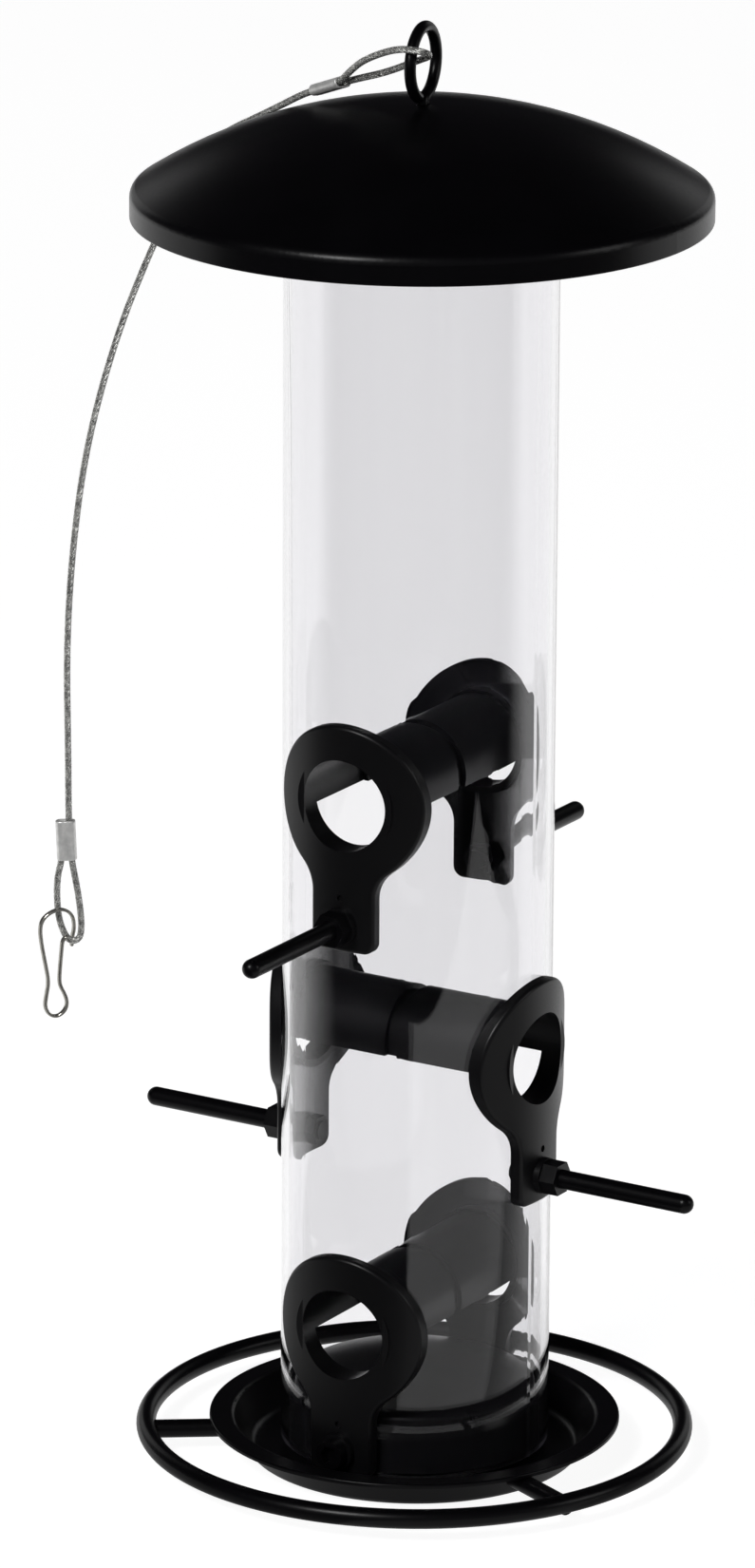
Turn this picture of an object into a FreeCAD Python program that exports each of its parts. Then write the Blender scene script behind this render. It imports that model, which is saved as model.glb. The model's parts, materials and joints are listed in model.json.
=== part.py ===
import FreeCAD, Part
import Sketcher
import math
import os

# Hanging tube bird feeder. Millimetres, +Z up, origin at the centre of the tray's underside.
# Azimuths are in degrees from the front (-Y), turning towards +X.

V = FreeCAD.Vector
doc = FreeCAD.newDocument("tube_feeder")

DIMENSIONS = {
    # seed tube
    "tube_outer_r": 35, "tube_wall": 2, "tube_bottom_z": 4.3, "tube_top_z": 343,
    "tube_port_hole_r": 14.3, "fastener_hole_r": 2.6,
    # ramp slots in the tube's top, which the lid's pins climb
    "slot_start_x": 9.05, "slot_end_x": 11.9, "slot_rise": 9, "slot_half_width": 2.3, "slot_middle": 15.4,
    # ports
    "port_low_z": 42.6, "port_spacing": 71.1, "saddle_gap": 0.15, "saddle_thick": 2.95,
    "plate_r": 21, "tab_half_width": 9.2, "tab_drop": 38.6, "neck_fillet": 9, "tab_corner": 3,
    "plate_edge": 1.1, "port_hole_r": 12, "neck_outer_r": 13.9, "neck_inner_y": 30.5,
    "hood_outer_r": 13.1, "hood_cut": 2.6, "hood_gap": 3.5, "hood_overlap": 1,
    "spigot_outer_r": 11.7, "spigot_inner_r": 10.5, "spigot_reach": 8, "spigot_flange": 2.2,
    "fastener_drop": 31.6, "boss_r": 4.75, "boss_face_y": 39.6, "dimple_drop": 24.4, "dimple_r": 0.9,
    "dimple_floor_y": 37.4,
    # perches and their nuts
    "rod_r": 2.5, "perch_end_y": 82.5, "perch_inner_y": 28.9, "nut_across_flats": 8,
    "outer_nut_thick": 4.4, "inner_nut_face_y": 32.7, "inner_nut_thick": 3, "inner_nut_flats": 7,
    # socket screws at the bottom ports
    "screw_head_r": 3.75, "screw_head_thick": 3, "screw_tip_y": 26.5, "screw_socket_r": 2.2,
    "screw_socket_deep": 2,
    # base insert
    "insert_r": 32.7, "insert_wall": 2.5, "insert_bottom_z": 4.9, "ledge_z": 17.4, "ledge_inset": 1.4,
    "shoulder_z": 19.6, "apex_z": 26, "deflector_thick": 2, "insert_shoulder_fillet": 1.3,
    "rib_width": 1.2, "rib_azimuth": 60, "rib_inset": 0.2, "post_r": 4, "post_pitch_r": 14, "post_top_z": 23.4,
    "screw_boss_r": 4.6, "screw_boss_inner_y": 25,
    # tray
    "tray_bottom_r": 43, "tray_wall_top_r": 48.4, "tray_rim_r": 53.6, "tray_rim_z": 9.7, "sheet": 1.1,
    "plateau_r": 21, "plateau_foot_r": 23.5, "plateau_top_z": 4.6, "drain_r": 2.2, "drain_pitch_r": 39,
    "drain_azimuth": -38.6, "tray_bend": 2.4, "tray_outer_bend": 3.2,
    # tray screws, from below into the insert's posts
    "tray_screw_head_r": 2.9, "tray_screw_head_z": 1.4, "tray_screw_shank_r": 1.5, "tray_screw_tip_z": 14,
    # perch ring and spokes
    "ring_r": 70.2, "ring_wire_r": 2.55, "ring_z": 6.9, "spoke_r": 2.4, "spoke_z": 6, "spoke_inner_r": 44,
    "weld_gap": 0.05,
    # lid
    "lid_r": 73.75, "lid_sheet": 1, "skirt_bottom_z": 330, "dome_top_z": 359.1, "dome_sphere_r": 133.5,
    "shoulder_fillet": 3.1, "hem_fillet": 0.4, "lid_hole_r": 1.8,
    # lid collar and bayonet pins
    "collar_outer_r": 32.7, "collar_wall": 1.5, "collar_bottom_z": 331, "collar_stop_z": 343.3,
    "collar_flange_r": 37, "collar_flange_thick": 1.3, "collar_inner_top_z": 354.3,
    "collar_outer_top_z": 353.95, "pin_r": 1.7, "pin_z": 337, "pin_tip_y": 35.8, "pin_root_y": 29.6,
    "pin_head_r": 2.6, "pin_head_thick": 1.3,
    # hanger: the eye's wire has a shank, a bend to the far side and an open ring
    "eye_centre_z": 369.8, "eye_ring_r": 9, "eye_neck_r": 2, "eye_bottom_z": 352.4, "eye_end_angle": -67,
    "eye_azimuth": 9.9, "hanger_wire_r": 1.5, "washer_r": 5, "washer_top_z": 357.6, "washer_thick": 1,
    "hanger_nut_flats": 6, "hanger_nut_top_z": 356.5, "hanger_nut_thick": 2.6,
    # cable, its crimp sleeves and the snap hook
    "cable_r": 0.9, "ferrule_long": 11, "ferrule_half_gap": 1.05, "ferrule_side_r": 1.6,
    "hook_wire_r": 0.7,
}

sheet = doc.addObject("Spreadsheet::Sheet", "dims")
for row, (alias, number) in enumerate(DIMENSIONS.items(), start=1):
    sheet.set(f"A{row}", alias)
    sheet.set(f"B{row}", str(number))
    sheet.setAlias(f"B{row}", alias)
doc.recompute()

nodes = []


def cell(alias):
    """The number that a cell of the sheet holds."""
    return float(sheet.get(alias))


def value(expression):
    """The number that an expression on the sheet gives."""
    return float(sheet.evalExpression(expression))


def around(azimuth):
    """Turn of the front (-Y) to an azimuth, as a rotation about +Z."""
    return FreeCAD.Rotation(V(0, 0, 1), azimuth)


def keep(item, name, placement=None):
    """Makes an object a node of the part, at its place."""
    item.Label = name
    if placement is not None:
        item.Placement = placement
    nodes.append(item)
    return item


# ---------------------------------------------------------------- helpers for bodies

def new_body(name):
    body = doc.addObject("PartDesign::Body", name)
    doc.recompute()
    return body


def origin_feature(body, role):
    return next(item for item in body.Origin.OriginFeatures if item.Role == role)


def new_sketch(body, name, plane, offset=None):
    """An empty sketch on one of the body's own planes, moved along its normal by an expression."""
    sketch = body.newObject("Sketcher::SketchObject", name)
    sketch.AttachmentSupport = [(origin_feature(body, plane), "")]
    sketch.MapMode = "FlatFace"
    if offset is not None:
        sketch.setExpression("AttachmentOffset.Base.z", offset)
    doc.recompute()
    return sketch


def bind(sketch, constraint, expression):
    index = sketch.addConstraint(constraint)
    sketch.setExpression(f"Constraints[{index}]", expression)


def fix_point(sketch, geometry, end, x, y):
    """Holds a point at two expressions; "0" puts it on the sketch's axis."""
    if x == "0":
        sketch.addConstraint(Sketcher.Constraint("PointOnObject", geometry, end, -2))
    else:
        bind(sketch, Sketcher.Constraint("DistanceX", -1, 1, geometry, end, value(x)), x)
    if y == "0":
        sketch.addConstraint(Sketcher.Constraint("PointOnObject", geometry, end, -1))
    else:
        bind(sketch, Sketcher.Constraint("DistanceY", -1, 1, geometry, end, value(y)), y)


def add_circle(sketch, radius, x="0", y="0"):
    index = sketch.addGeometry(Part.Circle(V(value(x), value(y), 0), V(0, 0, 1), value(radius)))
    bind(sketch, Sketcher.Constraint("Radius", index, value(radius)), radius)
    fix_point(sketch, index, 3, x, y)


def arc_between(start, end, radius, clockwise):
    """The short arc of a given radius from one point to another, drawn anticlockwise as sketches want."""
    if clockwise:
        start, end = end, start
    chord = end - start
    across = V(-chord.y, chord.x, 0).normalize()
    height = math.sqrt(radius ** 2 - (chord.Length / 2) ** 2)
    centre = (start + end) * 0.5 + across * height
    circle = Part.Circle(centre, V(0, 0, 1), radius)
    first = math.atan2(start.y - centre.y, start.x - centre.x)
    last = math.atan2(end.y - centre.y, end.x - centre.x)
    if last < first:
        last += 2 * math.pi
    return Part.ArcOfCircle(circle, first, last)


def add_outline(sketch, corners, arcs=None):
    """A closed outline through corners given as pairs of expressions.

    arcs maps a corner's number to (radius expression, clockwise) for the stretch that starts there.
    """
    arcs = arcs or {}
    points = [V(value(x), value(y), 0) for x, y in corners]
    first = sketch.GeometryCount
    count = len(points)
    starts = {}
    for i in range(count):
        begin, finish = points[i], points[(i + 1) % count]
        if i not in arcs:
            sketch.addGeometry(Part.LineSegment(begin, finish))
            starts[i] = (1, 2)
            continue
        radius, clockwise = arcs[i]
        index = sketch.addGeometry(arc_between(begin, finish, value(radius), clockwise))
        bind(sketch, Sketcher.Constraint("Radius", index, value(radius)), radius)
        starts[i] = (2, 1) if clockwise else (1, 2)
    for i in range(count):
        after = (i + 1) % count
        sketch.addConstraint(Sketcher.Constraint("Coincident", first + i, starts[i][1], first + after,
                                                 starts[after][0]))
    for i, (x, y) in enumerate(corners):
        fix_point(sketch, first + i, starts[i][0], x, y)


def add_hood_outline(sketch, outer, inner, cut):
    """Part of a ring, open below: everything of the ring above z = -cut."""
    outer_x = f"sqrt({outer}^2-{cut}^2)"
    inner_x = f"sqrt({inner}^2-{cut}^2)"
    centre = V(0, 0, 0)
    drop = value(cut)
    for radius in (outer, inner):
        size = value(radius)
        low = -math.asin(drop / size)
        circle = Part.Circle(centre, V(0, 0, 1), size)
        index = sketch.addGeometry(Part.ArcOfCircle(circle, low, math.pi - low))
        bind(sketch, Sketcher.Constraint("Radius", index, size), radius)
        sketch.addConstraint(Sketcher.Constraint("Coincident", index, 3, -1, 1))
    outside, inside = sketch.GeometryCount - 2, sketch.GeometryCount - 1
    for end, sign in ((1, 1), (2, -1)):
        begin = V(sign * value(outer_x), -drop, 0)
        finish = V(sign * value(inner_x), -drop, 0)
        line = sketch.addGeometry(Part.LineSegment(begin, finish))
        sketch.addConstraint(Sketcher.Constraint("Coincident", line, 1, outside, end))
        sketch.addConstraint(Sketcher.Constraint("Coincident", line, 2, inside, end))
        sketch.addConstraint(Sketcher.Constraint("Horizontal", line))
        bind(sketch, Sketcher.Constraint("DistanceY", -1, 1, line, 1, -drop), f"-{cut}")


def pad(body, sketch, name, length):
    feature = body.newObject("PartDesign::Pad", name)
    feature.Profile = sketch
    feature.setExpression("Length", length)
    doc.recompute()
    return feature


def pocket(body, sketch, name, length=None, both_ways=False, reverse=False):
    """A pocket that must take material away."""
    before = body.Shape.Volume
    feature = body.newObject("PartDesign::Pocket", name)
    feature.Profile = sketch
    feature.Reversed = reverse
    if length is None:
        feature.Type = "ThroughAll"
        feature.Midplane = both_ways
    else:
        feature.setExpression("Length", length)
    doc.recompute()
    if not body.Shape.Volume < before - 1e-3:
        raise RuntimeError(f"{body.Name}.{name} cuts nothing")
    return feature


def revolve(body, sketch, name):
    feature = body.newObject("PartDesign::Revolution", name)
    feature.Profile = sketch
    feature.ReferenceAxis = (sketch, ["V_Axis"])
    feature.Angle = 360
    doc.recompute()
    return feature


def repeat_around(body, features, name, count):
    pattern = body.newObject("PartDesign::PolarPattern", name)
    pattern.Originals = features
    pattern.Axis = (origin_feature(body, "Z_Axis"), [""])
    pattern.Angle = 360
    pattern.Occurrences = count
    body.Tip = pattern
    doc.recompute()
    return pattern


def fillet(body, name, radius, chosen):
    """Rounds the edges for which chosen(edge) is true."""
    base = body.Tip
    edges = [f"Edge{i}" for i, edge in enumerate(base.Shape.Edges, start=1) if chosen(edge)]
    if not edges:
        raise RuntimeError(f"{body.Name}.{name} finds no edge")
    feature = body.newObject("PartDesign::Fillet", name)
    feature.Base = (base, edges)
    feature.setExpression("Radius", radius)
    doc.recompute()
    return feature


def is_circle(edge, radius, z):
    if edge.Degenerated or not isinstance(edge.Curve, Part.Circle):
        return False
    return abs(edge.Curve.Radius - radius) < 0.01 and abs(edge.Curve.Center.z - z) < 0.01


# ---------------------------------------------------------------- helpers for primitives

def cylinder(name, radius, length, base=V(0, 0, 0), rotation=FreeCAD.Rotation()):
    item = doc.addObject("Part::Cylinder", name)
    item.setExpression("Radius", radius)
    item.setExpression("Height", length)
    item.Placement = FreeCAD.Placement(base, rotation)
    return item


def hexagon(name, across_flats, length, base=V(0, 0, 0), rotation=FreeCAD.Rotation()):
    item = doc.addObject("Part::Prism", name)
    item.Polygon = 6
    item.setExpression("Circumradius", f"({across_flats})/sqrt(3)")
    item.setExpression("Height", length)
    item.Placement = FreeCAD.Placement(base, rotation)
    return item


def cut_away(name, base, tool):
    item = doc.addObject("Part::Cut", name)
    item.Base = base
    item.Tool = tool
    return item


def fused(name, pieces):
    item = doc.addObject("Part::MultiFuse", name)
    item.Shapes = pieces
    return item


OUTWARD = FreeCAD.Rotation(V(0, 0, 1), V(0, -1, 0))


# ---------------------------------------------------------------- seed tube

def port_z(level):
    return f"(dims.port_low_z+{level}*dims.port_spacing)"


def make_tube():
    body = new_body("seed_tube")
    wall = new_sketch(body, "tube_section", "XY_Plane", "dims.tube_bottom_z")
    add_circle(wall, "dims.tube_outer_r")
    add_circle(wall, "dims.tube_outer_r-dims.tube_wall")
    pad(body, wall, "tube_wall", "dims.tube_top_z-dims.tube_bottom_z")
    for plane, levels in (("XZ_Plane", (0, 2)), ("YZ_Plane", (1,))):
        holes = new_sketch(body, f"holes_{plane[:2]}", plane)
        for level in levels:
            add_circle(holes, "dims.tube_port_hole_r", "0", port_z(level))
            add_circle(holes, "dims.fastener_hole_r", "0", f"{port_z(level)}-dims.fastener_drop")
        pocket(body, holes, f"drilled_{plane[:2]}", both_ways=True)
    slot = new_sketch(body, "slot_outline", "XZ_Plane")
    ramp = "atan2(dims.slot_rise;dims.slot_start_x+dims.slot_end_x)"
    side_x = f"dims.slot_half_width*sin({ramp})"
    side_z = f"dims.slot_half_width*cos({ramp})"
    low_z = "dims.pin_z"
    high_z = "(dims.pin_z+dims.slot_rise)"
    add_outline(slot, [
        (f"-dims.slot_start_x+{side_x}", f"{low_z}-{side_z}"),
        (f"dims.slot_end_x+{side_x}", f"{high_z}-{side_z}"),
        (f"dims.slot_end_x-{side_x}", f"{high_z}+{side_z}"),
        (f"-dims.slot_start_x-{side_x}", f"{low_z}+{side_z}"),
    ])
    ramp_cut = pocket(body, slot, "slot_ramp", length="dims.tube_outer_r+1", reverse=True)
    seat = new_sketch(body, "slot_seat_outline", "XZ_Plane")
    add_circle(seat, "dims.slot_half_width", "-dims.slot_start_x", low_z)
    seat_cut = pocket(body, seat, "slot_seat", length="dims.tube_outer_r+1", reverse=True)
    repeat_around(body, [ramp_cut, seat_cut], "both_slots", 2)
    keep(body, "seed_tube")


# ---------------------------------------------------------------- ports

def is_neck_edge(edge):
    line = isinstance(edge.Curve, Part.Line)
    along = line and abs(abs(edge.Curve.Direction.y) - 1) < 1e-6
    bottom = -cell("tab_drop")
    return along and bottom + 1 < edge.CenterOfMass.z < 0


def is_tab_corner(edge):
    line = isinstance(edge.Curve, Part.Line)
    along = line and abs(abs(edge.Curve.Direction.y) - 1) < 1e-6
    return along and abs(edge.CenterOfMass.z + cell("tab_drop")) < 0.01


def is_outer_rim(edge):
    """An edge of the plate's outline on the saddle's outer face."""
    face_r = cell("tube_outer_r") + cell("saddle_gap") + cell("saddle_thick")
    samples = edge.discretize(5)
    return all(abs(math.hypot(p.x, p.y) - face_r) < 0.02 for p in samples)


def make_port(name, level, azimuth, has_spigot):
    """A port whose axis points along -Y before it is turned to its azimuth."""
    body = new_body(name)
    reach = "dims.boss_face_y"
    inner_face = "(dims.tube_outer_r+dims.saddle_gap)"
    outer_face = f"({inner_face}+dims.saddle_thick)"

    disc = new_sketch(body, f"{name}_disc", "XZ_Plane")
    add_circle(disc, "dims.plate_r")
    pad(body, disc, f"{name}_plate", reach)
    tab = new_sketch(body, f"{name}_tab_outline", "XZ_Plane")
    add_outline(tab, [
        ("-dims.tab_half_width", "-dims.tab_drop"),
        ("dims.tab_half_width", "-dims.tab_drop"),
        ("dims.tab_half_width", "-dims.port_hole_r"),
        ("-dims.tab_half_width", "-dims.port_hole_r"),
    ])
    pad(body, tab, f"{name}_tab", reach)
    fillet(body, f"{name}_neck_round", "dims.neck_fillet", is_neck_edge)
    fillet(body, f"{name}_tab_round", "dims.tab_corner", is_tab_corner)

    inside = new_sketch(body, f"{name}_inside", "XY_Plane")
    add_circle(inside, inner_face)
    pocket(body, inside, f"{name}_saddle_inside", both_ways=True)
    outside = new_sketch(body, f"{name}_outside", "XY_Plane")
    add_circle(outside, "dims.tube_outer_r*2")
    add_circle(outside, outer_face)
    pocket(body, outside, f"{name}_saddle_outside", both_ways=True)
    fillet(body, f"{name}_edge_round", "dims.plate_edge", is_outer_rim)

    neck = new_sketch(body, f"{name}_neck_ring", "XZ_Plane", "dims.neck_inner_y")
    add_circle(neck, "dims.neck_outer_r")
    pad(body, neck, f"{name}_neck", f"{inner_face}-dims.neck_inner_y+dims.hood_overlap")
    hole = new_sketch(body, f"{name}_hole_outline", "XZ_Plane")
    add_circle(hole, "dims.port_hole_r")
    pocket(body, hole, f"{name}_hole", length=reach, reverse=True)

    hood = new_sketch(body, f"{name}_hood_outline", "XZ_Plane", "dims.hood_gap/2")
    add_hood_outline(hood, "dims.hood_outer_r", "dims.port_hole_r", "dims.hood_cut")
    pad(body, hood, f"{name}_hood", "dims.neck_inner_y-dims.hood_gap/2+dims.hood_overlap")
    if has_spigot:
        flange = new_sketch(body, f"{name}_flange_outline", "XZ_Plane", "dims.hood_gap/2")
        add_hood_outline(flange, "(dims.port_hole_r+0.5)", "dims.spigot_inner_r", "dims.hood_cut")
        pad(body, flange, f"{name}_flange", "dims.spigot_flange")
        spigot = new_sketch(body, f"{name}_spigot_outline", "XZ_Plane", "-dims.spigot_reach")
        add_hood_outline(spigot, "dims.spigot_outer_r", "dims.spigot_inner_r", "dims.hood_cut")
        pad(body, spigot, f"{name}_spigot", "dims.spigot_reach+dims.hood_gap/2+dims.spigot_flange")

    boss = new_sketch(body, f"{name}_boss_outline", "XZ_Plane", inner_face + "+dims.hood_overlap")
    add_circle(boss, "dims.boss_r", "0", "-dims.fastener_drop")
    pad(body, boss, f"{name}_boss", f"dims.boss_face_y-{inner_face}-dims.hood_overlap")
    bore = new_sketch(body, f"{name}_bore_outline", "XZ_Plane")
    add_circle(bore, "dims.fastener_hole_r", "0", "-dims.fastener_drop")
    pocket(body, bore, f"{name}_bore", length=reach + "+1", reverse=True)
    dimple = new_sketch(body, f"{name}_dimple_outline", "XZ_Plane", "dims.dimple_floor_y")
    add_circle(dimple, "dims.dimple_r", "0", "-dims.dimple_drop")
    pocket(body, dimple, f"{name}_dimple", length="dims.dimple_r*2", reverse=True)
    keep(body, name, FreeCAD.Placement(V(0, 0, value(port_z(level))), around(azimuth)))


# ---------------------------------------------------------------- perches, nuts and screws

def make_perch(name, height, turn):
    body = new_body(f"{name}_body")
    profile = new_sketch(body, f"{name}_profile", "XY_Plane")
    straight_end = "-(dims.perch_end_y-dims.rod_r)"
    add_outline(profile, [
        ("0", "-dims.perch_inner_y"),
        ("0", "-dims.perch_end_y"),
        ("dims.rod_r", straight_end),
        ("dims.rod_r", "-dims.perch_inner_y"),
    ], {1: ("dims.rod_r*1.0001", False)})
    revolve(body, profile, f"{name}_rod")
    keep(body, name, FreeCAD.Placement(V(0, 0, height), turn))


def make_nut(name, flats, thick, inner_y, height, turn):
    """A hex nut on an outward axis, its inner face at inner_y."""
    start = V(0, -value(inner_y), 0)
    block = hexagon(f"{name}_block", flats, thick, start, OUTWARD)
    bore = cylinder(f"{name}_bore", "dims.rod_r", thick, start, OUTWARD)
    keep(cut_away(name, block, bore), name, FreeCAD.Placement(V(0, 0, height), turn))


def make_base_screw(name, height, turn):
    head_y = cell("boss_face_y")
    top_y = head_y + cell("screw_head_thick")
    head = cylinder(f"{name}_head", "dims.screw_head_r", "dims.screw_head_thick", V(0, -head_y, 0), OUTWARD)
    shank = cylinder(f"{name}_shank", "dims.rod_r", "dims.boss_face_y-dims.screw_tip_y",
                     V(0, -cell("screw_tip_y"), 0), OUTWARD)
    socket_y = top_y - cell("screw_socket_deep")
    socket = hexagon(f"{name}_socket", "dims.screw_socket_r*2", "dims.screw_socket_deep",
                     V(0, -socket_y, 0), OUTWARD)
    whole = fused(f"{name}_blank", [head, shank])
    keep(cut_away(name, whole, socket), name, FreeCAD.Placement(V(0, 0, height), turn))


# ---------------------------------------------------------------- base insert, tray and ring

def make_insert():
    body = new_body("base_insert")
    profile = new_sketch(body, "insert_profile", "XZ_Plane")
    ledge_r = "(dims.insert_r-dims.ledge_inset)"
    bore_r = "(dims.insert_r-dims.insert_wall)"
    inner_z = "(dims.apex_z-dims.deflector_thick)"
    rise = "(dims.apex_z-dims.shoulder_z)"
    sphere = f"(({ledge_r}^2+{rise}^2)/(2*{rise}))"
    inner_rise = f"({rise}-0.6)"
    inner_sphere = f"(({bore_r}^2+{inner_rise}^2)/(2*{inner_rise}))"
    add_outline(profile, [
        ("dims.insert_r", "dims.insert_bottom_z"),
        ("dims.insert_r", "dims.ledge_z"),
        (ledge_r, "dims.ledge_z"),
        (ledge_r, "dims.shoulder_z"),
        ("0", "dims.apex_z"),
        ("0", inner_z),
        (bore_r, f"{inner_z}-{inner_rise}"),
        (bore_r, "dims.insert_bottom_z"),
    ], {3: (sphere, False), 5: (inner_sphere, True)})
    revolve(body, profile, "insert_shell")
    shoulder_r, shoulder_z = value(ledge_r), cell("shoulder_z")
    fillet(body, "insert_shoulder", "dims.insert_shoulder_fillet",
           lambda edge: is_circle(edge, shoulder_r, shoulder_z))

    rib = new_sketch(body, "rib_outline", "XY_Plane", "dims.ledge_z-1")
    rib.setExpression("AttachmentOffset.Rotation.Angle", "dims.rib_azimuth")
    add_outline(rib, [
        ("-dims.rib_width/2", "-dims.insert_r+dims.rib_inset"),
        ("dims.rib_width/2", "-dims.insert_r+dims.rib_inset"),
        ("dims.rib_width/2", f"-{ledge_r}+0.5"),
        ("-dims.rib_width/2", f"-{ledge_r}+0.5"),
    ])
    one_rib = pad(body, rib, "ledge_rib", "dims.shoulder_z-dims.ledge_z+0.4")
    repeat_around(body, [one_rib], "ledge_ribs", 4)

    posts = new_sketch(body, "post_outline", "XY_Plane", "dims.plateau_top_z")
    add_circle(posts, "dims.post_r", "0", "-dims.post_pitch_r")
    one_post = pad(body, posts, "post", "dims.post_top_z-dims.plateau_top_z")
    pilot = new_sketch(body, "pilot_outline", "XY_Plane", "dims.plateau_top_z")
    add_circle(pilot, "dims.tray_screw_shank_r", "0", "-dims.post_pitch_r")
    one_pilot = pocket(body, pilot, "pilot", length="dims.tray_screw_tip_z-dims.plateau_top_z+0.5",
                       reverse=True)
    repeat_around(body, [one_post, one_pilot], "posts", 3)

    drop = "(dims.port_low_z-dims.fastener_drop)"
    boss = new_sketch(body, "screw_boss_outline", "XZ_Plane", "dims.screw_boss_inner_y")
    add_circle(boss, "dims.screw_boss_r", "0", drop)
    one_boss = pad(body, boss, "screw_boss", "dims.insert_r-dims.screw_boss_inner_y-1.6")
    tapped = new_sketch(body, "tapped_outline", "XZ_Plane", "dims.screw_boss_inner_y-1")
    add_circle(tapped, "dims.rod_r", "0", drop)
    one_tapped = pocket(body, tapped, "tapped_hole", length="dims.insert_wall*4", reverse=True)
    repeat_around(body, [one_boss, one_tapped], "screw_bosses", 2)
    keep(body, "base_insert")


def make_tray():
    body = new_body("tray")
    profile = new_sketch(body, "tray_profile", "XZ_Plane")
    under_rim = "(dims.tray_rim_z-dims.sheet)"
    wall_inset = "(dims.sheet*0.75)"
    add_outline(profile, [
        ("0", "dims.plateau_top_z-dims.sheet"),
        ("dims.plateau_r", "dims.plateau_top_z-dims.sheet"),
        ("dims.plateau_foot_r", "0"),
        ("dims.tray_bottom_r", "0"),
        ("dims.tray_wall_top_r", under_rim),
        ("dims.tray_rim_r", under_rim),
        ("dims.tray_rim_r", "dims.tray_rim_z"),
        (f"dims.tray_wall_top_r-{wall_inset}", "dims.tray_rim_z"),
        (f"dims.tray_bottom_r-{wall_inset}", "dims.sheet"),
        (f"dims.plateau_foot_r+{wall_inset}", "dims.sheet"),
        (f"dims.plateau_r+{wall_inset}", "dims.plateau_top_z"),
        ("0", "dims.plateau_top_z"),
    ])
    revolve(body, profile, "tray_shell")
    inset = value(wall_inset)
    floor_r = cell("tray_bottom_r") - inset
    fillet(body, "inner_bend", "dims.tray_bend", lambda edge: is_circle(edge, floor_r, cell("sheet")))
    fillet(body, "outer_bend", "dims.tray_outer_bend",
           lambda edge: is_circle(edge, cell("tray_bottom_r"), 0))
    lip_r = cell("tray_wall_top_r") - inset
    fillet(body, "lip_bend", "dims.sheet*1.4", lambda edge: is_circle(edge, lip_r, cell("tray_rim_z")))
    fillet(body, "rim_edge", "dims.sheet*0.4",
           lambda edge: is_circle(edge, cell("tray_rim_r"), cell("tray_rim_z")))

    drain = new_sketch(body, "drain_outline", "XY_Plane")
    add_circle(drain, "dims.drain_r", "sin(dims.drain_azimuth)*dims.drain_pitch_r",
               "-cos(dims.drain_azimuth)*dims.drain_pitch_r")
    one_drain = pocket(body, drain, "drain_hole", both_ways=True)
    screw = new_sketch(body, "tray_screw_outline", "XY_Plane")
    add_circle(screw, "dims.tray_screw_shank_r+0.1", "0", "-dims.post_pitch_r")
    one_screw = pocket(body, screw, "screw_hole", both_ways=True)
    repeat_around(body, [one_drain, one_screw], "tray_holes", 3)
    keep(body, "tray")


def make_tray_screw(name, azimuth):
    place = V(0, -cell("post_pitch_r"), 0)
    head_top = "dims.plateau_top_z-dims.sheet-0.1"
    head_z = cell("tray_screw_head_z")
    head = cylinder(f"{name}_head", "dims.tray_screw_head_r", f"{head_top}-dims.tray_screw_head_z",
                    place + V(0, 0, head_z))
    shank = cylinder(f"{name}_shank", "dims.tray_screw_shank_r",
                     "dims.tray_screw_tip_z-dims.tray_screw_head_z-1", place + V(0, 0, head_z + 1))
    socket = hexagon(f"{name}_socket", "dims.tray_screw_shank_r*1.7", "1", place + V(0, 0, head_z))
    whole = fused(f"{name}_blank", [head, shank])
    keep(cut_away(name, whole, socket), name, FreeCAD.Placement(V(0, 0, 0), around(azimuth)))


def make_perch_ring():
    ring = doc.addObject("Part::Torus", "perch_ring")
    ring.setExpression("Radius1", "dims.ring_r")
    ring.setExpression("Radius2", "dims.ring_wire_r")
    keep(ring, "perch_ring", FreeCAD.Placement(V(0, 0, cell("ring_z")), FreeCAD.Rotation()))


def make_spoke(name, azimuth):
    """A round rod from the tray's wall to the ring, its ends shaped to what they are welded to."""
    start = V(0, -cell("spoke_inner_r"), cell("spoke_z"))
    rod = cylinder(f"{name}_rod", "dims.spoke_r", "dims.ring_r-dims.spoke_inner_r", start, OUTWARD)
    wall = doc.addObject("Part::Cone", f"{name}_wall")
    wall.setExpression("Radius1", "dims.tray_bottom_r+dims.weld_gap")
    wall.setExpression("Radius2", "dims.tray_wall_top_r+dims.weld_gap")
    wall.setExpression("Height", "dims.tray_rim_z-dims.sheet")
    ring = doc.addObject("Part::Torus", f"{name}_ring")
    ring.setExpression("Radius1", "dims.ring_r")
    ring.setExpression("Radius2", "dims.ring_wire_r+dims.weld_gap")
    ring.Placement = FreeCAD.Placement(V(0, 0, cell("ring_z")), FreeCAD.Rotation())
    trimmed = cut_away(f"{name}_trimmed", rod, fused(f"{name}_neighbours", [wall, ring]))
    keep(trimmed, name, FreeCAD.Placement(V(0, 0, 0), around(azimuth)))


# ---------------------------------------------------------------- lid and hanger

def dome_z(sphere_r, radius):
    """Height on a sphere about the dome's centre, at a radius from the axis."""
    return f"(dims.dome_top_z-dims.dome_sphere_r+sqrt({sphere_r}^2-{radius}^2))"


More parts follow.
